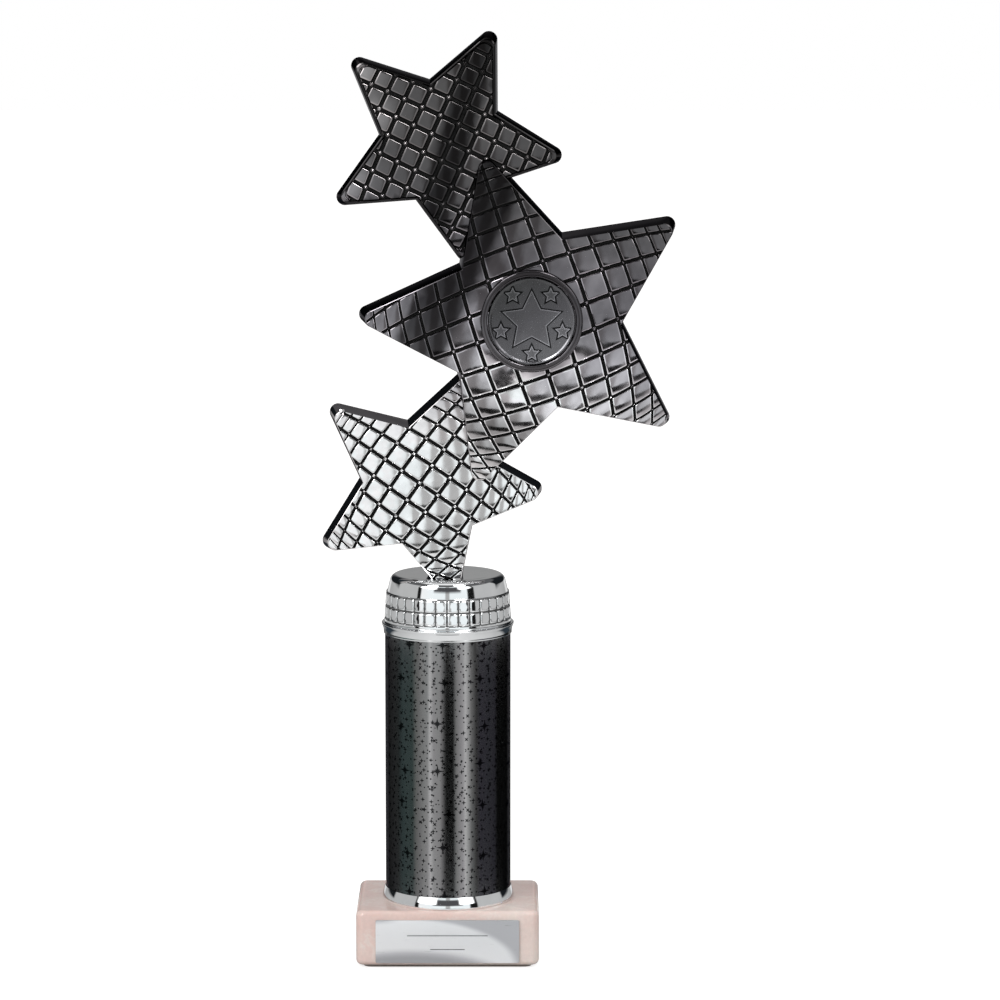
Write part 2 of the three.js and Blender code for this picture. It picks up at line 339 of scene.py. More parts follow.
def plate_metal(tree):
    """Satin aluminium, brushed along X, with broad curved sheens painted across it."""
    own = tree.own()
    x, _, z = tree.split(own)
    brush = tree.noise(tree.stretch(own, (0.02, 1, 1)), 6000, 2, 0.6)

    def oval(centre_x, centre_z, tall, squash, soft):
        """1 inside an oval, 0 outside; its half height is tall and its half width tall / squash."""
        across = tree.times(tree.minus(x, plate_low.x + centre_x * MM), squash)
        up = tree.minus(z, plate_low.z + centre_z * MM)
        away = tree.length(across, up)
        return tree.range(away, (tall - soft) * MM, tall * MM, 1, 0, smooth=True)

    # near, far and corner darken the painted sheen: painted reflections.
    near = tree.times(oval(10, -8, 13.0, 0.36, 3.6), 0.75)
    far = tree.times(tree.minus(1.0, oval(8, -1, 15.5, 0.43, 1.6)), 0.5)
    corner = tree.times(oval(0, 14.5, 3.0, 0.3, 2.2), 0.5)
    tone = tree.plus(tree.math("MAXIMUM", near, far), corner)
    colour = tree.ramp(tone, [
        (0.0, (0.91, 0.915, 0.93)), (0.4, (0.60, 0.60, 0.625)), (1.0, (0.29, 0.295, 0.31))])
    return {
        "Base Color": colour,
        "Metallic": 0.75,
        "Roughness": tree.range(brush, 0.25, 0.75, 0.26, 0.40),
        "Normal": tree.bump(brush, 0.3e-5),
    }


def mottled(tree, grain, dark, light, rough, relief=None):
    """Inputs for a plain finish between two colours. grain is its noise's scale, detail and
    roughness, rough one roughness or a (low, high) pair, and relief the height of its bumps."""
    field = tree.noise(tree.own(), *grain)
    if isinstance(rough, tuple):
        rough = tree.range(field, 0.3, 0.7, *rough)
    inputs = {"Base Color": tree.ramp(field, [(0.3, dark), (0.7, light)]), "Roughness": rough}
    if relief:
        inputs["Normal"] = tree.bump(field, relief)
    return inputs


def engraved_line(tree):
    return mottled(tree, (900,), grey(0.10), grey(0.18), 0.5) | {"Metallic": 0.4}


def marble(tree):
    """Pale pink polished marble: soft clouds, cream patches and thin faint veins."""
    own = tree.own()
    swirl = tree.add("TexNoise", {"Vector": own, "Scale": 55.0, "Detail": 3.0}).outputs[1]
    warp = tree.vector("ADD", own, tree.scaled(swirl, 0.012))
    clouds = tree.noise(warp, 34, 4, 0.5)
    body = tree.ramp(clouds, [
        (0.30, (0.80, 0.585, 0.53)),
        (0.45, (0.85, 0.665, 0.61)),
        (0.58, (0.88, 0.735, 0.68)),
        (0.74, (0.91, 0.82, 0.74)),
    ])
    vein_field = tree.noise(warp, 30, 6, 0.65)
    vein = tree.range(tree.math("ABSOLUTE", tree.minus(vein_field, 0.5)), 0, 0.022, 1, 0)
    veined = tree.mix(tree.times(vein, 0.35), body, (0.92, 0.86, 0.80, 1))
    fine = tree.range(tree.noise(own, 900, 3, 0.7), 0.35, 0.7, 0.955, 1.02)
    speckle = tree.add("CombineColor", {0: fine, 1: fine, 2: fine}).outputs[0]
    return {
        "Base Color": tree.mix(1.0, veined, speckle, "MULTIPLY"),
        "Roughness": tree.range(clouds, 0.3, 0.7, 0.16, 0.24),
        "Subsurface Weight": 0.12,
        "Subsurface Radius": (0.004, 0.002, 0.0015),
        "Subsurface Scale": 0.6,
        "Coat Weight": 0.5,
        "Coat Roughness": 0.04,
    }


def foil(tree):
    """Dark mirror foil, printed with dots, small crosses and long four-pointed sparkles."""
    own = tree.own()
    x, y, z = tree.split(own)
    radius = (wrap_high.x - wrap_low.x) / 2
    round_mm = tree.times(tree.math("ARCTAN2", x, tree.times(y, -1.0)),
                         radius / MM)
    height_mm = tree.times(z, 1 / MM)

    def cells(size, randomness, offset):
        """(x, y in millimetres from the cell's own point, a random number for the cell)."""
        place = tree.add("CombineXYZ", {
            0: tree.math("DIVIDE", tree.plus(round_mm, offset), size),
            1: tree.math("DIVIDE", tree.plus(height_mm, offset * 1.7), size),
        }).outputs[0]
        voronoi = tree.add("TexVoronoi", {
            "Vector": place, "Scale": 1.0, "Randomness": randomness,
        }, voronoi_dimensions="2D")
        across, up, _ = tree.split(tree.vector("SUBTRACT", place, voronoi.outputs["Position"]))
        luck = tree.add("TexWhiteNoise", {0: voronoi.outputs["Position"]},
                        noise_dimensions="2D").outputs[0]
        return tree.times(across, size), tree.times(up, size), luck

    def below(value, limit, soft):
        return tree.range(value, tree.minus(limit, soft), limit, 1, 0)

    def dots(size, offset, small, large, share):
        across, up, luck = cells(size, 0.75, offset)
        away = tree.length(across, up)
        limit = tree.range(luck, 0, share, small, large)
        chosen = tree.math("LESS_THAN", luck, share)
        return tree.times(below(away, limit, 0.12), chosen)

    def sparkles(size, offset, arm, thick, share, diagonal=False, randomness=0.6):
        across, up, luck = cells(size, randomness, offset)
        if diagonal:
            across, up = (
                tree.times(tree.plus(across, up), 0.7071),
                tree.times(tree.minus(across, up), 0.7071),
            )
        across, up = tree.math("ABSOLUTE", across), tree.math("ABSOLUTE", up)
        spread = tree.plus(
            tree.math("DIVIDE", tree.math("MINIMUM", across, up), thick),
            tree.math("DIVIDE", tree.math("MAXIMUM", across, up), arm),
        )
        chosen = tree.math("LESS_THAN", luck, share)
        return tree.times(below(spread, 1.0, 0.25), chosen)

    marks = [
        dots(1.7, 0.3, 0.24, 0.36, 0.60),
        dots(2.3, 5.1, 0.24, 0.36, 0.55),
        sparkles(3.0, 11.0, 0.90, 0.30, 0.60, randomness=0.35),
        sparkles(3.6, 23.0, 0.90, 0.30, 0.50, diagonal=True, randomness=0.35),
        sparkles(12.8, 3.0, 2.3, 0.50, 0.95, randomness=0.3),
        sparkles(12.8, 3.0, 1.2, 0.35, 0.95, diagonal=True, randomness=0.3),
    ]
    ink = marks[0]
    for mark in marks[1:]:
        ink = tree.math("MAXIMUM", ink, mark)

    streaks = tree.noise(tree.stretch(own, (1, 1, 0.02)), 260, 2, 0.5)
    tint = tree.ramp(streaks, [
        (0.32, (0.32, 0.335, 0.335)), (0.48, (0.38, 0.38, 0.38)),
        (0.58, (0.37, 0.36, 0.37)), (0.72, (0.33, 0.33, 0.35))])
    glitter = tree.noise(own, 2600, 2, 0.7)
    shimmer = tree.mix(tree.range(glitter, 0.35, 0.7, 0.0, 0.35), tint, (0.22, 0.23, 0.24, 1))
    return {
        "Base Color": tree.mix(ink, shimmer, (0.03, 0.031, 0.033, 1)),
        "Metallic": 1.0,
        "Specular Tint": (0.35, 0.35, 0.38, 1),
        "Roughness": tree.range(glitter, 0.3, 0.7, 0.035, 0.07),
        "Normal": tree.bump(glitter, 0.1e-5),
    }


def felt(tree):
    cloth = mottled(tree, (3000, 3, 0.7), (0.20, 0.17, 0.15), (0.34, 0.30, 0.27), 0.95, 1.5e-4)
    return cloth | {"Sheen Weight": 0.3}


def card(tree):
    return mottled(tree, (1400, 3, 0.7), (0.38, 0.29, 0.19), (0.52, 0.42, 0.29), 0.9, 4e-5)


def adhesive(tree):
    return mottled(tree, (700,), (0.74, 0.72, 0.66), (0.84, 0.82, 0.76), 0.55)


def zinc_steel(tree):
    steel = mottled(tree, (500, 3, 0.6), (0.52, 0.53, 0.55), (0.66, 0.66, 0.66), (0.22, 0.4))
    return steel | {"Metallic": 1.0}


MATERIALS = {
    finish.__name__: material(finish.__name__, finish)
    for finish in (
        plated_figure, groove_painted_shade, chrome, cap_groove_painted_shade, disc_metal, plate_metal,
        engraved_line, marble, foil, felt, card, adhesive, zinc_steel,
    )
}


# ---- mesh helpers


def new_mesh(name, points, faces):
    mesh = bpy.data.meshes.new(name)
    mesh.from_pydata([tuple(map(float, p)) for p in points], [], [tuple(f) for f in faces])
    mesh.update()
    return mesh


def piece(name, mesh, materials, nodes, sharp_degrees=35.0):
    """A shown piece that rides on the trophy's one body and stands for the CAD nodes."""
    made = bpy.data.objects.new(name, mesh)
    bpy.context.scene.collection.objects.link(made)
    for key in materials:
        mesh.materials.append(MATERIALS[key])
    mesh.shade_smooth()
    mesh.set_sharp_from_angle(angle=math.radians(sharp_degrees))
    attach(made, "root")
    if nodes:
        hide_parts(*nodes)
    return made


def arc(centre_r, centre_z, radius, start, end, steps):
    """Points of an arc in a turned profile, angles in degrees from the +R direction."""
    angles = [math.radians(start + (end - start) * i / steps) for i in range(steps + 1)]
    return [(centre_r + radius * math.cos(a), centre_z + radius * math.sin(a)) for a in angles]


def ring_faces(rings, sides, closed=True):
    """The quads between rings of points; closed joins the last ring to the first as well."""
    return [
        (i * sides + j, i * sides + (j + 1) % sides,
         (i + 1) % rings * sides + (j + 1) % sides, (i + 1) % rings * sides + j)
        for i in range(rings if closed else rings - 1) for j in range(sides)
    ]


def turned(name, profile, sides=160):
    """A closed ring turned about Z from a closed profile of (radius, z) points."""
    turns = np.arange(sides) * 2 * math.pi / sides
    points = [(r * math.cos(t), r * math.sin(t), z) for r, z in profile for t in turns]
    return new_mesh(name, points, ring_faces(len(profile), sides))


def box_faces(low, high):
    """Corner points and faces of a box."""
    points = [(x, y, z) for x in (low[0], high[0]) for y in (low[1], high[1])
              for z in (low[2], high[2])]
    faces = [(0, 1, 3, 2), (4, 6, 7, 5), (0, 4, 5, 1), (2, 3, 7, 6), (0, 2, 6, 4), (1, 5, 7, 3)]
    return points, faces


def shaded(mesh, values):
    """Gives every point its own tone, or all of them the same one, and returns the mesh."""
    tones = mesh.attributes.new("shade", "FLOAT", "POINT")
    tones.data.foreach_set("value", np.broadcast_to(values, len(mesh.vertices)).astype(np.float32))
    return mesh


def joined_mesh(name, meshes):
    """One mesh of several, each keeping its faces' material numbers; the parts are removed."""
    whole = bmesh.new()
    for mesh in meshes:
        whole.from_mesh(mesh)
        bpy.data.meshes.remove(mesh)
    mesh = bpy.data.meshes.new(name)
    whole.to_mesh(mesh)
    whole.free()
    return mesh


# ---- star figure


def rounded_tile(u, v, half_u, half_v, corner, bevel):
    """(distance past the tile's outline, its rise over the bevel, its crown) at places measured
    from the middle of a tile; rise and crown go from 0 to 1."""
    qu, qv = np.abs(u) - half_u + corner, np.abs(v) - half_v + corner
    outside = np.hypot(np.maximum(qu, 0), np.maximum(qv, 0))
    distance = outside + np.minimum(np.maximum(qu, qv), 0) - corner
    rise = np.sin(np.clip(-distance / bevel, 0, 1) * math.pi / 2)
    crown = np.clip(1 - (u / half_u) ** 2, 0, 1) * np.clip(1 - (v / half_v) ** 2, 0, 1)
    return distance, rise, crown


def star_angles(star):
    """(half the angle at a tip, the distance of every edge from the centre)."""
    reach = star["tips"] - star["notches"] * math.cos(HALF_ARM)
    half = math.atan2(star["notches"] * math.sin(HALF_ARM), reach)
    return half, star["tips"] * math.sin(half)


def nearest_arm(star, x, z):
    """(number of the nearest arm, distance along it, distance across it) of each point."""
    first = math.radians(star["arm"])
    turn = np.arctan2(z, x) - first
    number = np.round(turn / (2 * HALF_ARM)).astype(int)
    off = turn - number * 2 * HALF_ARM
    away = np.hypot(x, z)
    return number % ARMS, away * np.cos(off), np.abs(away * np.sin(off))


def groove_lines(star, pitch, reach):
    """Where the grid's lines lie along one direction: close together at every groove."""
    groove, bevel = star["groove"], star["bevel"]
    steps = [0, groove / 2, groove, groove + 0.35 * bevel, groove + 0.7 * bevel, groove + bevel]
    steps += [groove + bevel + 0.45 * CHAMFER_MM, groove + bevel + CHAMFER_MM]
    count = math.ceil(reach / pitch) + 1
    lines = []
    for i in range(-count, count + 1):
        lines += [i * pitch + s for s in steps] + [(i + 0.5) * pitch]
        lines += [(i + 1) * pitch - s for s in reversed(steps[1:])]
    return np.array(lines)


def tile_height(star, along, up, chance):
    """(height over the groove floor, whether it is groove floor, brightness with painted highlights
    on the tiles' edges and knots) at grid places.
    """
    pitch_u, pitch_v = star["pitch"]
    cell_u, cell_v = np.floor(along / pitch_u), np.floor(up / pitch_v)
    u, v = along - (cell_u + 0.5) * pitch_u, up - (cell_v + 0.5) * pitch_v
    half_u, half_v = pitch_u / 2 - star["groove"], pitch_v / 2 - star["groove"]
    distance, rise, crown = rounded_tile(u, v, half_u, half_v, TILE_CORNER_MM, star["bevel"])
    row, column = cell_u.astype(int) % len(chance), cell_v.astype(int) % len(chance)
    tilt = chance[row, column]
    height = rise * (TILE_HEIGHT_MM - TILE_CROWN_MM + crown * TILE_CROWN_MM)
    height += rise * TILE_TILT * (tilt[..., 0] * u + tilt[..., 1] * v)
    inner_edge = np.clip(1 - (-distance - star["bevel"]) / CHAMFER_MM, 0, 1)
    height -= rise * CHAMFER_DROP_MM * inner_edge ** 2
    knot_u = pitch_u / 2 - np.abs(u)
    knot_v = pitch_v / 2 - np.abs(v)
    bead = np.clip(1 - (knot_u ** 2 + knot_v ** 2) / (star["groove"] * 1.25) ** 2, 0, 1)
    floor = (rise < 0.62) & (bead < 0.05)
    # Painted highlights: a thin bright line inside each tile's edge, and a strong one on the beads at
    # the knots.
    lit_edge = np.clip((-distance - 0.5 * star["bevel"]) / (0.3 * star["bevel"]), 0, 1)
    lit_edge *= inner_edge
    gain = 1 + star["edge_gain"] * lit_edge + 4 * (bead > 0.3)
    return np.maximum(height, bead * BEAD_HEIGHT_MM), floor, gain


def face_fall(star, x, z, in_front=True):
    """How far the star's face falls back from its ridge, in millimetres."""
    turn = math.radians(star["ridge_way"] - 90)
    w = x * math.cos(turn) + z * math.sin(turn) - star["ridge"]
    left, right = (math.tan(math.radians(star[k])) for k in ("left_tilt", "right_tilt"))
    blend = star["blend"]
    soft = blend * (np.logaddexp(w / blend, -w / blend) - math.log(2))
    away = math.hypot(x, z)
    fall = (left + right) / 2 * w + (right - left) / 2 * soft
    fall += TIP_DROOP_MM * (away / star["tips"]) ** 4
    fall += math.tan(math.radians(star["lean"])) * (z + 0.9 * star["tips"])
    if star["hole"] and in_front:
        fall -= FILLET_MM * math.exp(-((away - star["hole"]) / 2.6) ** 2)
    return fall


def shade(star, x, z):
    """How bright the plating is at a place on a star's front, where 1 is as its height gives. The
    dark band and the soft spots are painted reflections; the darker rim is painted shade."""
    turn = math.radians(star["ridge_way"] - 90)
    w = abs(x * math.cos(turn) + z * math.sin(turn) - star["ridge"])
    value = 1.0
    # The dark band along the ridge is a painted reflection.
    if star["dusk"]:
        inside = 1 + math.exp(min((star["dusk"] - w) / 0.35, 50))
        value = DUSK_PAINTED_REFLECTION + (1 - DUSK_PAINTED_REFLECTION) / inside
    # Soft spots of painted highlight, and of painted shade where the gain is negative.
    for spot_x, spot_z, radius, gain in star["glints"]:
        value += gain * math.exp(-((x - spot_x) ** 2 + (z - spot_z) ** 2) / radius ** 2)
    # The rim is painted darker: painted shade.
    if star["rim"]:
        half, edge = star_angles(star)
        _, arm_way, cross_way = nearest_arm(star, x, z)
        from_edge = edge - arm_way * math.sin(half) - cross_way * math.cos(half)
        if from_edge < star["taper"] + star["rim"] + EDGE_BEVEL_MM:
            value = RIM_PAINTED_SHADE
    return value


def tile_sheet(star, rng):
    """Points (x, z, height over the floor), quads, their groove flags, and each point's arm and
    painted highlight, for a whole star. The points are measured from the middle of the slanted face."""
    reach = star["tips"] * 1.5
    rows_at, columns_at = (groove_lines(star, pitch, reach) for pitch in star["pitch"])
    along, up = np.meshgrid(rows_at, columns_at, indexing="ij")
    chance = rng.uniform(-1, 1, (64, 64, 2))
    height, floor, gain = tile_height(star, along, up, chance)
    rows, columns = math.radians(star["rows"]), math.radians(star["columns"])
    x = star["knot"][0] + along * math.cos(rows) + up * math.cos(columns)
    z = star["knot"][1] + along * math.sin(rows) + up * math.sin(columns)
    crowding = np.sqrt(1 + 2 * star["squeeze"] * (x * x + z * z))
    x, z = x / crowding - star["slant"][0], z / crowding - star["slant"][1]
    number, arm_way, cross_way = nearest_arm(star, x, z)
    half, edge = star_angles(star)
    inside = arm_way * math.sin(half) + cross_way * math.cos(half) < edge + SHEET_MARGIN_MM
    index = np.arange(along.size).reshape(along.shape)
    quads = np.stack([index[:-1, :-1], index[1:, :-1], index[1:, 1:], index[:-1, 1:]], -1)
    quads = quads.reshape(-1, 4)
    quads = quads[inside.reshape(-1)[quads].any(1)]
    return (
        np.stack([x, z, height], -1).reshape(-1, 3),
        quads,
        floor.reshape(-1)[quads].all(1),
        number.reshape(-1),
        gain.reshape(-1),
    )


def clip(bm, point, normal):
    """Cuts away what lies beyond a plane in the sheet's X-Z plane."""
    everything = bm.verts[:] + bm.edges[:] + bm.faces[:]
    bmesh.ops.bisect_plane(
        bm, geom=everything, dist=1e-5, clear_outer=True,
        plane_co=(point[0], point[1], 0), plane_no=(normal[0], normal[1], 0),
    )


def clipped_star(star, rng, inset):
    """The tile sheet cut to the star's outline drawn in by inset, one arm at a time."""
    points, quads, floors, number, gain = tile_sheet(star, rng)
    half, edge = star_angles(star)
    scale = (edge - inset) / edge
    tip_round = TIP_ROUND_MM * scale
    tip_centre = star["tips"] * scale - tip_round / math.sin(half)
    whole = bmesh.new()
    for i in range(ARMS):
        mine = (number[quads] == i).any(1)
        kept, faces = np.unique(quads[mine], return_inverse=True)
        mesh = new_mesh("arm", points[kept], faces.reshape(-1, 4))
        mesh.polygons.foreach_set("material_index", floors[mine].astype(np.int32))
        shaded(mesh, gain[kept])
        bm = bmesh.new()
        bm.from_mesh(mesh)
        bpy.data.meshes.remove(mesh)
        arm = math.radians(star["arm"]) + 2 * HALF_ARM * i
        for side in (1, -1):
            border = arm + side * HALF_ARM
            clip(bm, (0, 0), (-side * math.sin(border), side * math.cos(border)))
            facing = arm + side * (math.pi / 2 - half)
            normal = (math.cos(facing), math.sin(facing))
            clip(bm, [c * (edge - inset) for c in normal], normal)
        for share in (-0.8, -0.5, -0.25, 0, 0.25, 0.5, 0.8):
            facing = arm + share * (math.pi / 2 - half)
            normal = (math.cos(facing), math.sin(facing))
            middle = (tip_centre * math.cos(arm), tip_centre * math.sin(arm))
            clip(bm, [m + tip_round * c for m, c in zip(middle, normal)], normal)
        part = bpy.data.meshes.new("arm")
        bm.to_mesh(part)
        bm.free()
        whole.from_mesh(part)
        bpy.data.meshes.remove(part)
    bmesh.ops.remove_doubles(whole, verts=whole.verts[:], dist=2e-3)
    return whole


def grown_ring(bm, edges, scale, place):
    """Extrudes an open border into one more ring of plain faces, scaled about the star's centre.
    place(vertex) gives each new vertex its height. Returns the new ring's edges."""
    grown = bmesh.ops.extrude_edge_only(bm, edges=edges)["geom"]
    for item in grown:
        if isinstance(item, bmesh.types.BMFace):
            item.material_index = 0
        if isinstance(item, bmesh.types.BMVert):
            item.co.xy *= scale
            item.co.z = place(item.co)
    return [item for item in grown if isinstance(item, bmesh.types.BMEdge)]


def outline_steps(star, taper, depth):
    """(inset, height over the seam, whether it follows the face) of each ring from the tiles out:
    a shallow channel and a round rim where the star has one, a small bevel, then the wall."""
    steps = []
    if star["rim"]:
        crest = depth - 0.15
        for share, drop in ((1.0, 0.75), (0.82, 0.7), (0.66, 0.12), (0.45, 0.0), (0.22, 0.0)):
            steps.append((taper + EDGE_BEVEL_MM + share * star["rim"], crest - drop, True))
    steps.append((taper + EDGE_BEVEL_MM, depth - 0.2, True))
    steps.append((taper + 0.3 * EDGE_BEVEL_MM, depth - 0.2 - 0.3 * EDGE_BEVEL_MM, True))
    steps.append((taper, depth - 0.2 - EDGE_BEVEL_MM, True))
    steps.append((0.0, SEAM_MM, False))
    return steps


def star_solid(name, star, side, rng, foot=None):
    """One closed half star: side is -1 for the front and +1 for the back. Its tiled face, a small
    bevel round the outline and walls that widen to the full outline at the seam."""
    depth = star["front"] if side < 0 else star["back"]
    taper = star["taper"] if side < 0 else BACK_TAPER_MM
    hole = star["hole"] if side < 0 else 0.0
    slant = Vector(star["slant"])
    _, edge = star_angles(star)
    drawn_in = taper + EDGE_BEVEL_MM + star["rim"] * 1.15
    bm = clipped_star(star, rng, drawn_in)

    def fall(co):
        return face_fall(star, co.x + slant.x, co.y + slant.y, side < 0)

    if hole:
        inner = [f for f in bm.faces if all((v.co.xy + slant).length < hole for v in f.verts)]
        bmesh.ops.delete(bm, geom=inner, context="FACES")
    for v in bm.verts:
        v.co.z += depth - TILE_HEIGHT_MM - fall(v.co)
    tone = bm.verts.layers.float["shade"]
    sheet = set(bm.verts)
    rim = [e for e in bm.edges if e.is_boundary]
    edges = [e for e in rim if e.verts[0].co.xy.length > hole + 2]
    inner = [e for e in rim if e not in set(edges)]
    for inset, height, follows in outline_steps(star, taper, depth):
        def place(co, height=height, follows=follows):
            return height - (fall(co) if follows else 0)

        edges = grown_ring(bm, edges, (edge - inset) / (edge - drawn_in), place)
        drawn_in = inset
    bmesh.ops.triangle_fill(bm, use_beauty=True, edges=edges)
    if inner:
        edges = grown_ring(bm, inner, 1.0, lambda co: depth - 3.0)
        bmesh.ops.triangle_fill(bm, use_beauty=True, edges=edges)
    # Everything off the tile sheet, the bevel, rim and walls, is painted darker: painted shade.
    for v in bm.verts:
        if v not in sheet:
            v[tone] = WALL_PAINTED_SHADE

    for v in bm.verts:
        x, z, out = v.co
        if out > depth / 2:
            x, z = x + slant.x, z + slant.y
            if side < 0:
                v[tone] *= shade(star, x, z)
        v.co = Vector((star["x"] + x, side * out, star["z"] + z)) * MM
        v.co += Vector((disc_centre.x, 0, disc_centre.z))
    if foot is not None:
        cut = bmesh.ops.bisect_plane(
            bm, geom=bm.verts[:] + bm.edges[:] + bm.faces[:], dist=1e-8, clear_inner=True,
            plane_co=(0, 0, foot), plane_no=(0, 0, 1),
        )["geom_cut"]
        loop = [g for g in cut if isinstance(g, bmesh.types.BMEdge)]
        bmesh.ops.triangle_fill(bm, use_beauty=True, edges=loop)
    bmesh.ops.recalc_face_normals(bm, faces=bm.faces[:])
    mesh = bpy.data.meshes.new(name)
    bm.to_mesh(mesh)
    bm.free()
    return mesh


def facing_ring(name, profile, sides=160):
    """A ring on the disc's axis; profile points are (radius, y), in metres."""
    mesh = turned(name, [(r, -y) for r, y in profile], sides)
    for v in mesh.vertices:
        x, up, out = v.co
        v.co = (disc_centre.x + x, -out, disc_centre.z + up)
    mesh.flip_normals()
    return mesh


def disc_holder():
    """The raised bead round the disc, from the middle star's face to its own crest."""
    outer, inner = 15.2 * MM, 13.2 * MM
    bead_round, lip_round = 0.65 * MM, 0.45 * MM
    crest, floor = figure_low.y, figure_low.y + 4 * MM
    bead = [
        (outer - bead_round * (1 - math.cos(a)), crest + bead_round * (1 - math.sin(a)))
        for a in np.linspace(0, math.pi / 2, 8)
    ]
    inside = [
        (inner + lip_round * (1 - math.sin(a)), crest + lip_round * (1 - math.cos(a)))
        for a in np.linspace(0, math.pi / 2, 6)
    ]
    return facing_ring("holder", [(outer, floor), *bead, *inside, (inner, floor)])


def star_figure():
    rng = np.random.default_rng(SEED)
    foot = cap_high.z - CAP_DISH_MM * MM + 0.05 * MM
    fronts, backs = [], []
    for key, star in STARS.items():
        cut = foot if key == "lower" else None
        fronts.append(star_solid(key + "_front", star, -1, rng, cut))
        backs.append(star_solid(key + "_back", star, 1, rng, cut))
    # The holder and the boss are painted darker: painted shade.
    fronts.append(shaded(disc_holder(), HOLDER_PAINTED_SHADE))
    boss_radius = 4.6 * MM
    boss = turned("boss", [
        (1e-5, foot), (boss_radius, foot), (boss_radius, foot + 2.2 * MM),
        (boss_radius - 0.6 * MM, foot + 2.8 * MM), (1e-5, foot + 2.8 * MM)], 64)
    fronts.append(shaded(boss, HOLDER_PAINTED_SHADE))
    finishes = ["plated_figure", "groove_painted_shade"]
    piece("star_figure_front", joined_mesh("star_figure_front", fronts), finishes,
          ["figure_front_shell"], 30)
    piece("star_figure_back", joined_mesh("star_figure_back", backs), finishes,
          ["figure_back_shell"], 30)


# ---- centre disc


def emblem_star(centre, tips, notches, front, height, line):
    """line is the width, as a share of its
    size, of the painted shade round its foot and of the painted highlight inside its outline."""
    # The third number of each step is its tone: painted shade at the foot, a painted highlight on
    # top.
    steps = (
        (1 + line, 0.1 * MM, 1.0), (1 + line, 0.0, 1.0), (1 + 0.6 * line, -0.01 * MM, 0.14),
        (1.0, -0.01 * MM, 0.14), (1 - 0.5 * line, -height, 2.8), (1 - line, -height, 2.2),
        (1 - 1.6 * line, -height, 1.1),
    )
    points, tones = [], []
    for size, rise, tone in steps:
        for i in range(2 * ARMS):
            reach = size * (tips if i % 2 == 0 else notches)
            turn = i * HALF_ARM
            points.append((centre[0] + reach * math.sin(turn), front + rise,
                           centre[1] + reach * math.cos(turn)))
            tones.append(tone)
    n = 2 * ARMS
    last = len(steps) - 1
    faces = ring_faces(len(steps), n, closed=False)
    faces += [tuple(range(last * n, (last + 1) * n)), tuple(reversed(range(n)))]
    mesh = shaded(new_mesh("emblem", points, faces), tones)
    bm = bmesh.new()
    bm.from_mesh(mesh)
    bmesh.ops.triangulate(bm, faces=[f for f in bm.faces if len(f.verts) > 4])
    bmesh.ops.recalc_face_normals(bm, faces=bm.faces[:])
    bm.to_mesh(mesh)
    bm.free()
    return mesh


def centre_disc():
    radius = (disc_high.x - disc_low.x) / 2
    back, front = disc_high.y, disc_low.y
    field = front + 0.2 * MM
    # The third number is the tone: the outer wall painted darker as painted shade, and a painted
    # highlight on the front edge.
    rim = [
        (radius, back, 0.6), (radius, front + 0.25 * MM, 0.6), (radius - 0.2 * MM, front, 1.2),
        (radius - 0.6 * MM, front, 1.2), (radius - 0.8 * MM, front + 0.1 * MM, 1.0),
        (radius - 1.0 * MM, field, 1.0), (1e-5, field, 1.0), (1e-5, back, 1.0),
    ]
    disc = facing_ring("disc", [(r, y) for r, y, _ in rim])
    parts = [shaded(disc, np.repeat([tone for _, _, tone in rim], len(disc.vertices) // len(rim)))]
    middle = (disc_centre.x, disc_centre.z)
    parts.append(emblem_star(middle, 9.5 * MM, 4.7 * MM, field, 0.4 * MM, 0.075))
    for i in range(ARMS):
        turn = (2 * i + 1) * HALF_ARM
        place = (middle[0] + 9.6 * MM * math.sin(turn), middle[1] + 9.6 * MM * math.cos(turn))
        parts.append(emblem_star(place, 2.8 * MM, 1.35 * MM, field, 0.45 * MM, 0.30))
    piece("centre_disc_relief", joined_mesh("centre_disc_relief", parts), ["disc_metal"],
          ["centre_disc"], 20)


# ---- cap, collars and column


def riser_cap():
    """The cap's turned body, with a separate band of pillowed tiles wrapped round its foot."""
    foot, top = cap_low.z, cap_high.z
    step = foot + 9.4 * MM
    dish = top - CAP_DISH_MM * MM
    waist, shoulder, bore, soft = 18.2 * MM, 17.5 * MM, 15.3 * MM, 2.4 * MM
    body = [(waist - 0.3 * MM, foot + 1e-4), (waist, step)]
    body += arc(shoulder - soft, top - soft, soft, 8, 90, 16)
    body += [(14.3 * MM, top - 0.03 * MM), (13.4 * MM, top - 0.12 * MM),
             (12.4 * MM, dish + 0.06 * MM), (11.0 * MM, dish)]
    body += [(2.6 * MM, dish), (2.6 * MM, dish - 2.3 * MM)]
    body += [(bore, dish - 2.3 * MM), (bore, foot + 1e-4)]
    parts = [turned("cap_body", body, 192), tile_band(foot, step)]
    piece("riser_cap_tiled", joined_mesh("riser_cap_tiled", parts), ["chrome", "cap_groove_painted_shade"],
          ["riser_cap"], 34)


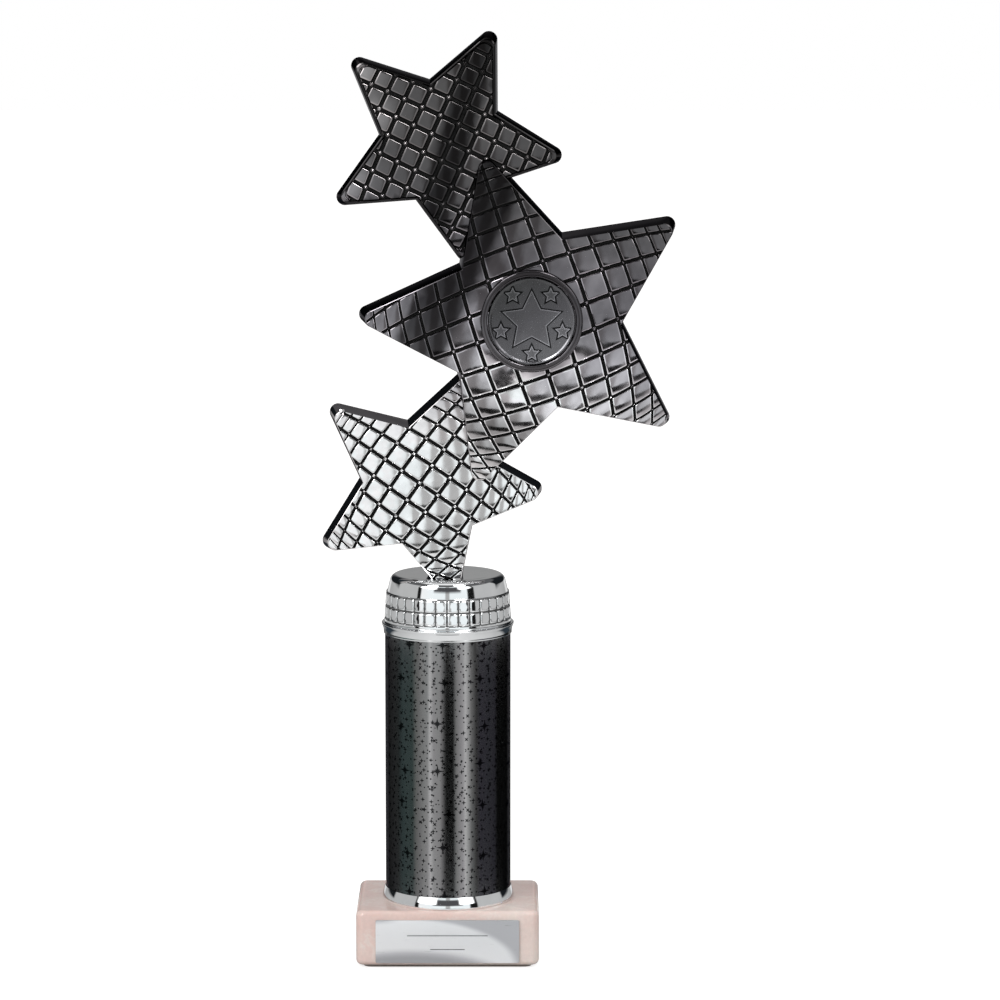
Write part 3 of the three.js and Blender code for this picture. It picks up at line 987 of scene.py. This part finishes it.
def tile_band(foot, step):
    """Two rows of rounded tiles round the cap, as one closed ring that narrows upwards."""
    tiles, rows = 34, 2
    wide_mm, narrow_mm = 19.2, 18.6
    groove_mm, bevel_mm, corner_mm, relief_mm, crown_mm = 0.16, 0.2, 0.6, 0.26, 0.04
    height_mm = (step - foot) / MM
    plinth_mm, brow_mm = 1.2, 0.3
    pitch_u = 2 * math.pi * wide_mm / tiles
    pitch_v = (height_mm - plinth_mm - brow_mm) / rows
    offsets = [0, groove_mm, groove_mm + 0.3 * bevel_mm, groove_mm + 0.65 * bevel_mm,
               groove_mm + bevel_mm, groove_mm + bevel_mm + 0.35]

    def period(pitch):
        return offsets + [pitch / 2] + [pitch - o for o in reversed(offsets[1:])]

    def from_middle(place, pitch):
        return place - (np.floor(place / pitch + 1e-9) + 0.5) * pitch

    around = np.array([i * pitch_u + s for i in range(tiles) for s in period(pitch_u)])
    up = [j * pitch_v + s for j in range(rows) for s in period(pitch_v)] + [rows * pitch_v]
    u, v = np.meshgrid(around, np.array(up), indexing="xy")
    u, v = from_middle(u, pitch_u), from_middle(v, pitch_v)
    half_u, half_v = pitch_u / 2 - groove_mm, pitch_v / 2 - groove_mm
    _, rise, crown = rounded_tile(u, v, half_u, half_v, corner_mm, bevel_mm)
    lift = rise * (relief_mm - crown_mm) + crown * crown_mm - relief_mm

    def body(z):
        return wide_mm + (narrow_mm - wide_mm) * z / height_mm

    ones = np.ones(len(around))
    rings = [(ones * (body(0) - 0.7), 0.0), (ones * (body(0) - 0.25), 0.0),
             (ones * (body(0) - 0.05), 0.15), (ones * body(0), 0.4),
             (ones * body(plinth_mm), plinth_mm - 0.15)]
    rings += [(body(plinth_mm + z) + lift[j], plinth_mm + z) for j, z in enumerate(up)]
    rings += [(ones * body(height_mm), height_mm - brow_mm + 0.08),
              (ones * (body(height_mm) - 0.05), height_mm - 0.1),
              (ones * (body(height_mm) - 0.2), height_mm),
              (ones * (wide_mm - 2.4), height_mm), (ones * (wide_mm - 2.4), 0.0)]
    turns = around / wide_mm
    points = np.concatenate([
        np.stack([r * MM * np.sin(turns), -r * MM * np.cos(turns), ones * (foot + z * MM)], -1)
        for r, z in rings
    ])
    count, sides = len(rings), len(around)
    mesh = new_mesh("tile_band", points, ring_faces(count, sides))
    # The groove floors take the second material, whose dark grey is painted shade.
    floor = np.zeros((count, sides), bool)
    floor[5:5 + len(up)] = rise < 0.55
    dark = floor & np.roll(floor, -1, 1) & np.roll(floor, -1, 0)
    dark &= np.roll(np.roll(floor, -1, 0), -1, 1)
    mesh.polygons.foreach_set("material_index", dark.reshape(-1).astype(np.int32))
    return mesh


def collars():
    """The lower collar is a skirt that leans in above a rounded foot, the upper one a cove under a
    rounded lip. Both have a web across them with a hole for the rod."""
    bore, rod_hole, web_height = 19.1 * MM, 2.6 * MM, 0.8 * MM
    low, high = lower_low.z, lower_high.z
    web, outer, lean = low + web_height, lower_high.x, 0.80 * MM
    skirt_low, skirt_high = low + 0.55 * MM, high - 0.15 * MM
    skirt = [
        (outer - lean * t ** 1.5, skirt_low + (skirt_high - skirt_low) * t)
        for t in np.linspace(0, 1, 14)
    ]
    foot = [
        (outer - 0.35 * MM * (1 - math.sin(a)), skirt_low - 0.55 * MM * math.cos(a))
        for a in np.linspace(0, math.pi / 2, 7)[:-1]
    ]
    profile = [*foot, *skirt, (outer - lean - 0.06 * MM, high), (bore, high), (bore, web),
               (rod_hole, web), (rod_hole, low)]
    piece("lower_collar_bead", turned("lower_collar_bead", profile), ["chrome"],
          ["lower_collar"], 50)

    low, high = upper_low.z, upper_high.z
    outer, neck, web = upper_high.x, 19.35 * MM, high - web_height
    rise = 1.1 * MM
    cove = [
        (neck + (outer - 0.1 * MM - neck) * t ** 2.6, low + rise + 2.5 * MM * t)
        for t in np.linspace(0, 1, 14)
    ]
    lip = arc(outer - 0.4 * MM, high - 0.42 * MM, 0.4 * MM, -30, 90, 8)
    profile = [(neck - 0.12 * MM, low + rise - 0.15 * MM), *cove, *lip, (rod_hole, high),
               (rod_hole, web), (bore, web), (bore, low + rise - 0.15 * MM)]
    piece("upper_collar_coved", turned("upper_collar_coved", profile), ["chrome"],
          ["upper_collar"], 50)


def foil_wrap():
    """The foil sleeve, with the edge where it laps over itself at the back."""
    outer, inner = wrap_high.x, wrap_high.x - 0.15 * MM
    low, high = wrap_low.z, wrap_high.z
    profile = [(inner, low), (outer, low), (outer, high), (inner, high)]
    parts = [turned("wrap", profile, 192)]
    lap_low, lap_high = math.radians(84), math.radians(96)
    turns = np.linspace(lap_low, lap_high, 9)
    lift = 0.07 * MM
    inside, outside = outer - 0.05 * MM, outer + lift
    points = [(r * math.cos(t), r * math.sin(t), z)
              for z in (low, high) for r in (inside, outside) for t in turns]
    n = len(turns)
    faces = []
    for i in range(n - 1):
        faces += [
            (i, i + 1, n + i + 1, n + i), (2 * n + i, 3 * n + i, 3 * n + i + 1, 2 * n + i + 1),
            (i, 2 * n + i, 2 * n + i + 1, i + 1), (n + i, n + i + 1, 3 * n + i + 1, 3 * n + i),
        ]
    faces += [(0, n, 3 * n, 2 * n), (n - 1, 3 * n - 1, 4 * n - 1, 2 * n - 1)]
    parts.append(new_mesh("lap", points, faces))
    piece("foil_wrap", joined_mesh("foil_wrap", parts), ["foil"], ["tube_wrap"], 40)


# ---- base and plate


def rounded_block(name, low, high, corner, edge, steps=6):
    """A block with round upright corners and rounded top and bottom edges."""
    half_x, half_y = (high.x - low.x) / 2, (high.y - low.y) / 2
    centre_x, centre_y = (high.x + low.x) / 2, (high.y + low.y) / 2

    def outline(inset):
        radius = max(corner - inset, 0.2 * MM)
        points = []
        for k, (sx, sy) in enumerate(((1, 1), (-1, 1), (-1, -1), (1, -1))):
            for i in range(steps + 1):
                a = math.pi / 2 * (k + i / steps)
                points.append((
                    centre_x + sx * (half_x - inset - radius) + radius * math.cos(a),
                    centre_y + sy * (half_y - inset - radius) + radius * math.sin(a),
                ))
        return points

    levels = []
    for i in range(steps + 1):
        a = math.pi / 2 * i / steps
        levels.append((edge * (1 - math.sin(a)), low.z + edge * (1 - math.cos(a))))
    levels += [(inset, high.z - (z - low.z)) for inset, z in reversed(levels)]
    rings = [[(x, y, z) for x, y in outline(inset)] for inset, z in levels]
    n = len(rings[0])
    points = [p for ring in rings for p in ring]
    faces = ring_faces(len(rings), n, closed=False)
    faces += [tuple(reversed(range(n))), tuple(range((len(rings) - 1) * n, len(rings) * n))]
    return new_mesh(name, points, faces)


def base_block():
    mesh = rounded_block("marble_block", base_low, base_high, 2.4 * MM, 1.6 * MM)
    piece("marble_block", mesh, ["marble"], ["marble_base"], 30)


def plate():
    """The blank plate with softened edges, and two plain engraved rules on it."""
    front = plate_low.y + 0.04 * MM
    size_x, size_z = plate_high.x - plate_low.x, plate_high.z - plate_low.z
    low = Vector((plate_low.x, plate_low.z, 0))
    high = Vector((plate_high.x, plate_high.z, plate_high.y - front))
    mesh = rounded_block("plate", low, high, 0.5 * MM, 0.12 * MM, 3)
    for v in mesh.vertices:
        x, z, out = v.co
        v.co = (x, plate_high.y - out, z)
    middle = (plate_low.z + plate_high.z) / 2
    piece("engraving_plate_blank", mesh, ["plate_metal"], ["engraving_plate"], 30)
    rules = []
    for width, up in ((0.56 * size_x, 0.14 * size_z), (0.24 * size_x, -0.18 * size_z)):
        points, faces = box_faces(
            (-width / 2, front - 0.02 * MM, middle + up - 0.13 * MM),
            (width / 2, front + 0.05 * MM, middle + up + 0.13 * MM))
        rules.append(new_mesh("rule", points, faces))
    piece("plate_rules", joined_mesh("plate_rules", rules), ["engraved_line"], [])


# ---- pieces kept from the CAD model

KEPT_NODES = {
    "base_felt": "felt",
    "plate_adhesive": "adhesive",
    "disc_pad": "adhesive",
    "tube_core": "card",
    "threaded_rod": "zinc_steel",
    "base_washer": "zinc_steel",
    "base_nut": "zinc_steel",
    "clamp_washer": "zinc_steel",
    "clamp_nut": "zinc_steel",
    "figure_insert_nut": "zinc_steel",
}


def kept_pieces():
    for node, key in KEPT_NODES.items():
        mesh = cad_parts[node].data
        mesh.materials.clear()
        mesh.materials.append(MATERIALS[key])


# ---- studio


def card_ramp(tree, azimuth, stops):
    """A ramp over azimuth in degrees; stops are (degrees, colour or grey), from -180 to 180."""
    placed = [((deg + 180) / 360, c if isinstance(c, tuple) else grey(c)) for deg, c in stops]
    return tree.ramp(tree.range(azimuth, -180, 180), placed)


def studio_world():
    """White to the camera and even light for matt surfaces. Glossy surfaces see a studio of tall
    softboxes and dark cards round the trophy. Azimuth is measured from -Y towards +X."""
    world = bpy.data.worlds.new("studio")
    bpy.context.scene.world = world
    tree = Tree(world)
    direction = tree.add("TexCoord").outputs["Generated"]
    x, y, z = tree.split(direction)
    turn = tree.math("ARCTAN2", x, tree.times(y, -1.0))
    degrees = tree.times(turn, 180 / math.pi)
    elevation = tree.times(tree.math("ARCSINE", z), 180 / math.pi)

    softbox = (0.94, 0.99, 1.005)
    room = card_ramp(tree, degrees, [
        (-180, 0.22), (-168, 0.22), (-164, 0.75), (-152, 0.75), (-146, 0.40), (-100, 0.51),
        (-60.5, 0.50), (-59, 0.01), (-53, 0.01), (-51.5, 0.98), (-30, softbox), (-4.5, softbox),
        (-3.2, 0.46), (3.4, 0.46), (4.8, softbox), (38.5, softbox), (40, 0.01), (52.5, 0.01),
        (54.5, 0.52), (100, 0.52), (146, 0.40), (152, 0.75), (164, 0.75), (168, 0.22),
        (180, 0.22)])
    low_room = card_ramp(tree, degrees, [
        (-180, 0.02), (-165, 0.15), (-150, 0.15), (-140, 0.04), (-104, (0.05, 0.055, 0.055)),
        (-92, (0.08, 0.11, 0.11)), (-68, (0.08, 0.115, 0.11)), (-60, (0.28, 0.29, 0.28)),
        (-38, 0.58), (-32, 1.05), (-26, 0.66), (-14, 0.54), (-5, 0.08), (-2, 0.02), (10, 0.02),
        (16, 0.40), (28, 0.75), (33, 1.05), (44, 0.34), (54, 0.08), (62, (0.065, 0.065, 0.08)),
        (96, (0.05, 0.05, 0.06)), (104, 0.008), (140, 0.01), (150, 0.12), (165, 0.12),
        (180, 0.02)])
    teal = (0.03, 0.04, 0.05)
    glow = [(24, 0.78), (68, 0.66), (116, 0.48), (130, teal), (150, teal), (164, 0.30), (180, 0.35)]
    floor_glow = card_ramp(tree, degrees, [(-d, c) for d, c in reversed(glow)] + glow)
    high_beams = card_ramp(tree, degrees, [
        (-58, 0.0), (-50, 1.0), (-26, 1.0), (-19, 0.0), (19, 0.0), (26, 1.0), (42, 1.0),
        (50, 0.0)])

    seen = tree.mix(tree.range(elevation, -9.7, -10.0), room, low_room)
    seen = tree.mix(tree.range(elevation, -13.8, -14.2), seen, floor_glow)
    behind = tree.range(tree.math("ABSOLUTE", degrees), 120, 140, smooth=True)
    cap_patch = tree.range(tree.math("ABSOLUTE", degrees), 168, 174)
    dusk = tree.times(behind, tree.range(elevation, 1, 4))
    seen = tree.mix(dusk, seen, tree.mix(cap_patch, (0.09, 0.09, 0.095, 1), (0.30, 0.30, 0.30, 1)))

    def patch(az_from, az_to, low, high, soft=2.0):
        """1 between two azimuths on both sides and between two elevations, with soft edges."""
        around = tree.math("ABSOLUTE", degrees)
        sides = tree.times(tree.range(around, az_from - soft, az_from),
                          tree.range(around, az_to + soft, az_to))
        levels = tree.times(tree.range(elevation, low - soft, low),
                           tree.range(elevation, high + soft, high))
        return tree.times(sides, levels)

    # A dark card straight ahead with a bright beam on each side of it, a dark card near the floor in
    # front, and one behind each side. -10 starts a card at azimuth 0 with no soft edge there.
    seen = tree.mix(patch(-10, 25, 12, 25, 3.5), seen, (0.08, 0.08, 0.085, 1))
    beams = tree.times(patch(-10, 180, 15, 30), high_beams)
    seen = tree.mix(beams, seen, (3.6, 3.6, 3.6, 1))
    seen = tree.mix(patch(-10, 30, -82, -60), seen, (0.03, 0.03, 0.035, 1))
    seen = tree.mix(patch(112, 162, 5, 44, 4.0), seen, (0.01, 0.012, 0.014, 1))
    ceiling = tree.range(elevation, 32, 38, smooth=True)
    seen = tree.mix(ceiling, seen, (0.11, 0.11, 0.115, 1))
    top_light = tree.range(elevation, 58, 68, smooth=True)
    seen = tree.mix(top_light, seen, (0.9, 0.9, 0.9, 1))
    for azimuth, height in ((-35, 44), (32, 52)):
        a, e = math.radians(azimuth), math.radians(height)
        aim = (math.cos(e) * math.sin(a), -math.cos(e) * math.cos(a), math.sin(e))
        near = tree.add("VectorMath", {0: direction, 1: aim}, operation="DOT_PRODUCT").outputs[1]
        seen = tree.mix(tree.range(near, 0.985, 0.991), seen, (14.0, 14.0, 14.0, 1))

    path = tree.add("LightPath")
    even = (0.80, 0.80, 0.80, 1)
    light = tree.mix(path.outputs["Is Glossy Ray"], even, seen)
    shown = tree.mix(path.outputs["Is Camera Ray"], light, (1, 1, 1, 1))
    background = tree.add("Background", {"Color": shown})
    tree.add("OutputWorld", {"Surface": background.outputs[0]})
    world.cycles.sampling_method = "NONE"


def studio_floor():
    """A pale floor that glows a little to the camera. Glossy surfaces don't see it, because the
    world holds its reflection."""
    size = 6.0
    points = [(-size, -size, 0), (size, -size, 0), (size, size, 0), (-size, size, 0)]
    floor = bpy.data.objects.new("floor", new_mesh("floor", points, [(0, 1, 2, 3)]))
    bpy.context.scene.collection.objects.link(floor)
    paint = bpy.data.materials.new("floor_paint")
    tree = Tree(paint)
    matt = tree.add("BsdfDiffuse", {"Color": (0.50, 0.49, 0.48, 1)})
    path = tree.add("LightPath")
    glow = tree.add("Emission", {
        "Color": (1, 1, 1, 1),
        "Strength": tree.times(path.outputs["Is Camera Ray"], 0.72),
    })
    both = tree.add("AddShader", {0: matt.outputs[0], 1: glow.outputs[0]})
    tree.add("OutputMaterial", {"Surface": both.outputs[0]})
    floor.data.materials.append(paint)
    floor.visible_glossy = False


def key_light(name, location, size, power):
    """A soft light for the matt surfaces, aimed at the base; glossy surfaces don't see it."""
    light = bpy.data.lights.new(name, "AREA")
    light.size = size
    light.energy = power
    lamp = bpy.data.objects.new(name, light)
    lamp.location = location
    lamp.rotation_mode = "QUATERNION"
    lamp.rotation_quaternion = (Vector((0, 0, 0.05)) - lamp.location).to_track_quat("-Z", "Y")
    lamp.visible_glossy = False
    lamp.visible_camera = False
    bpy.context.scene.collection.objects.link(lamp)


# ---- build

star_figure()
centre_disc()
riser_cap()
collars()
foil_wrap()
base_block()
plate()
kept_pieces()
studio_world()
studio_floor()
key_light("key_left", (-0.8, -1.0, 1.0), 0.8, 8)
key_light("fill_back", (0.9, 1.0, 0.9), 0.8, 5)
